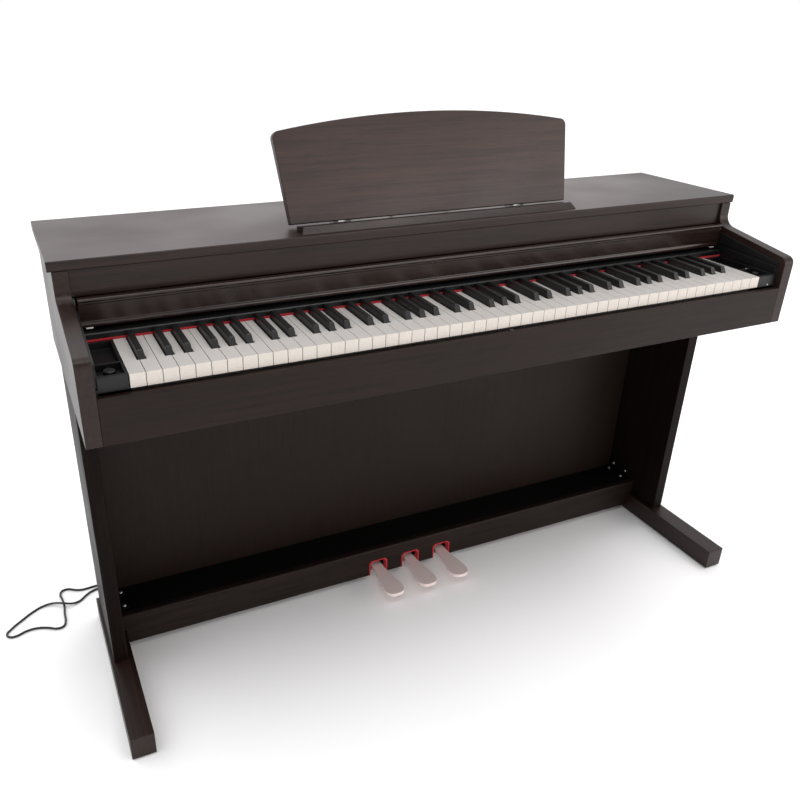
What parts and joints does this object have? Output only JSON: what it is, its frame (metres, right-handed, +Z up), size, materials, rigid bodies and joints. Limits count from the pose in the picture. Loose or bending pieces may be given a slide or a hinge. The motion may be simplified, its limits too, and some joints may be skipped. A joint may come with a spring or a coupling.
{
  "type": "digital piano on stand",
  "caption": "Dark wood-grain console digital piano on a two-leg stand, with sliding key cover, folding music rest, pedals and power lead.",
  "frame": {"origin": "middle of the footprint of the instrument and its stand, on the floor", "axes": "+X to the player's right along the keyboard, +Y from the player to the rear, +Z up"},
  "size_m": [1.5592, 0.5312, 1.0122],
  "materials": {
    "wood_grain": "dark brown wood-grain laminate, satin",
    "wood_dark": "dark brown laminate",
    "black_laminate": "black laminate",
    "rubber": "matt black rubber",
    "steel": "zinc-plated steel",
    "red_felt": "red felt",
    "black_plastic": "black moulded plastic",
    "black_keys": "satin black key",
    "white_keys": "off-white key",
    "rack_plastic": "pale acetal",
    "circuit_board": "green circuit board",
    "rose_brass": "rosy brass plating",
    "cord_rubber": "black cord sheath"
  },
  "bodies": {
    "case": {"leg_left": "wood_grain", "leg_right": "wood_grain", "foot_left": "wood_dark", "foot_right": "wood_dark", "foot_pads": "rubber", "back_panel": "wood_dark", "pedal_board_front": "wood_dark", "pedal_board_top": "black_laminate", "pedal_chassis": "steel", "pedal_felts": "red_felt", "stand_brackets": "steel", "side_panel_left": "wood_grain", "side_panel_right": "wood_grain", "cheek_plates": "black_plastic", "top_board": "wood_grain", "fascia_board": "wood_dark", "key_slip": "wood_grain", "key_bed": "wood_dark", "case_back": "wood_dark", "key_block_left": "black_plastic", "key_block_right": "black_plastic", "key_chassis": "steel", "contact_board": "circuit_board", "control_strip": "black_plastic", "felt_strip": "red_felt", "main_board": "circuit_board", "speakers": "black_plastic", "cover_racks": "rack_plastic", "music_ledge": "wood_grain", "rest_hinges": "steel", "jack_plate": "steel", "phone_jacks": "black_plastic", "dc_inlet": "black_plastic", "cord_run": "cord_rubber", "cord_coil": "cord_rubber", "dc_plug": "black_plastic", "adaptor": "black_plastic"},
    "keys_c": {"keys_c": "white_keys"},
    "keys_c_sharp": {"keys_c_sharp": "black_keys"},
    "keys_d": {"keys_d": "white_keys"},
    "keys_d_sharp": {"keys_d_sharp": "black_keys"},
    "keys_e": {"keys_e": "white_keys"},
    "keys_f": {"keys_f": "white_keys"},
    "keys_f_sharp": {"keys_f_sharp": "black_keys"},
    "keys_g": {"keys_g": "white_keys"},
    "keys_g_sharp": {"keys_g_sharp": "black_keys"},
    "keys_a": {"keys_a": "white_keys"},
    "keys_a_sharp": {"keys_a_sharp": "black_keys"},
    "keys_b": {"keys_b": "white_keys"},
    "pedal_left": {"pedal_left": "rose_brass"},
    "pedal_middle": {"pedal_middle": "rose_brass"},
    "pedal_right": {"pedal_right": "rose_brass"},
    "key_cover": {"key_cover": "wood_grain", "cover_rail": "wood_grain"},
    "cover_shaft": {"cover_shaft": "steel"},
    "music_rest": {"music_rest": "wood_grain", "rest_leaves": "steel"},
    "rest_stay": {"rest_stay": "steel"},
    "power_button": {"power_button": "black_plastic"},
    "volume_knob": {"volume_knob": "black_plastic"}
  },
  "joints": [
    {"name": "keys_c_press", "type": "hinge", "parent": "case", "child": "keys_c", "pos_m": [0, 0.015, 0.699], "axis": [1, 0, 0], "range_deg": [0, 2.6], "stiffness_Nm_per_rad": 7, "springref_deg": -11.46},
    {"name": "keys_c_sharp_press", "type": "hinge", "parent": "case", "child": "keys_c_sharp", "pos_m": [0, 0.015, 0.699], "axis": [1, 0, 0], "range_deg": [0, 2.6], "stiffness_Nm_per_rad": 6, "springref_deg": -11.46},
    {"name": "keys_d_press", "type": "hinge", "parent": "case", "child": "keys_d", "pos_m": [0, 0.015, 0.699], "axis": [1, 0, 0], "range_deg": [0, 2.6], "stiffness_Nm_per_rad": 7, "springref_deg": -11.46},
    {"name": "keys_d_sharp_press", "type": "hinge", "parent": "case", "child": "keys_d_sharp", "pos_m": [0, 0.015, 0.699], "axis": [1, 0, 0], "range_deg": [0, 2.6], "stiffness_Nm_per_rad": 6, "springref_deg": -11.46},
    {"name": "keys_e_press", "type": "hinge", "parent": "case", "child": "keys_e", "pos_m": [0, 0.015, 0.699], "axis": [1, 0, 0], "range_deg": [0, 2.6], "stiffness_Nm_per_rad": 7, "springref_deg": -11.46},
    {"name": "keys_f_press", "type": "hinge", "parent": "case", "child": "keys_f", "pos_m": [0, 0.015, 0.699], "axis": [1, 0, 0], "range_deg": [0, 2.6], "stiffness_Nm_per_rad": 7, "springref_deg": -11.46},
    {"name": "keys_f_sharp_press", "type": "hinge", "parent": "case", "child": "keys_f_sharp", "pos_m": [0, 0.015, 0.699], "axis": [1, 0, 0], "range_deg": [0, 2.6], "stiffness_Nm_per_rad": 6, "springref_deg": -11.46},
    {"name": "keys_g_press", "type": "hinge", "parent": "case", "child": "keys_g", "pos_m": [0, 0.015, 0.699], "axis": [1, 0, 0], "range_deg": [0, 2.6], "stiffness_Nm_per_rad": 7, "springref_deg": -11.46},
    {"name": "keys_g_sharp_press", "type": "hinge", "parent": "case", "child": "keys_g_sharp", "pos_m": [0, 0.015, 0.699], "axis": [1, 0, 0], "range_deg": [0, 2.6], "stiffness_Nm_per_rad": 6, "springref_deg": -11.46},
    {"name": "keys_a_press", "type": "hinge", "parent": "case", "child": "keys_a", "pos_m": [0, 0.015, 0.699], "axis": [1, 0, 0], "range_deg": [0, 2.6], "stiffness_Nm_per_rad": 7, "springref_deg": -11.46},
    {"name": "keys_a_sharp_press", "type": "hinge", "parent": "case", "child": "keys_a_sharp", "pos_m": [0, 0.015, 0.699], "axis": [1, 0, 0], "range_deg": [0, 2.6], "stiffness_Nm_per_rad": 6, "springref_deg": -11.46},
    {"name": "keys_b_press", "type": "hinge", "parent": "case", "child": "keys_b", "pos_m": [0, 0.015, 0.699], "axis": [1, 0, 0], "range_deg": [0, 2.6], "stiffness_Nm_per_rad": 7, "springref_deg": -11.46},
    {"name": "pedal_left_press", "type": "hinge", "parent": "case", "child": "pedal_left", "pos_m": [-0.082, 0.097, 0.03], "axis": [1, 0, 0], "range_deg": [0, 4.5], "stiffness_Nm_per_rad": 38, "springref_deg": -2.29},
    {"name": "pedal_middle_press", "type": "hinge", "parent": "case", "child": "pedal_middle", "pos_m": [0, 0.097, 0.03], "axis": [1, 0, 0], "range_deg": [0, 4.5], "stiffness_Nm_per_rad": 38, "springref_deg": -2.29},
    {"name": "pedal_right_press", "type": "hinge", "parent": "case", "child": "pedal_right", "pos_m": [0.082, 0.097, 0.03], "axis": [1, 0, 0], "range_deg": [0, 4.5], "stiffness_Nm_per_rad": 38, "springref_deg": -2.29},
    {"name": "cover_slide", "type": "slide", "parent": "case", "child": "key_cover", "axis": [0, -0.9986, -0.0523], "range_m": [0, 0.15]},
    {"name": "cover_shaft_turn", "type": "hinge", "parent": "key_cover", "child": "cover_shaft", "pos_m": [0, 0.1081, 0.76033], "axis": [1, 0, 0], "range_deg": [0, 960]},
    {"name": "rest_fold", "type": "hinge", "parent": "case", "child": "music_rest", "pos_m": [0, 0.03045, 0.84233], "axis": [-1, 0, 0], "range_deg": [0, 72]},
    {"name": "rest_stay_fold", "type": "hinge", "parent": "music_rest", "child": "rest_stay", "pos_m": [0, 0.05022, 0.9053], "axis": [1, 0, 0], "range_deg": [0, 136]},
    {"name": "power_press", "type": "slide", "parent": "case", "child": "power_button", "axis": [0, 0, -1], "range_m": [0, 0.0022], "stiffness_N_per_m": 400, "springref_m": -0.002},
    {"name": "volume_turn", "type": "hinge", "parent": "case", "child": "volume_knob", "pos_m": [-0.63365, -0.1815, 0.711], "axis": [0, 0, 1], "range_deg": [-140, 140]}
  ],
  "couplings": [
    {"joint": "cover_shaft_turn", "follows": "cover_slide", "rad_per_m": 111.11},
    {"joint": "rest_stay_fold", "follows": "rest_fold", "ratio": 1.862}
  ]
}
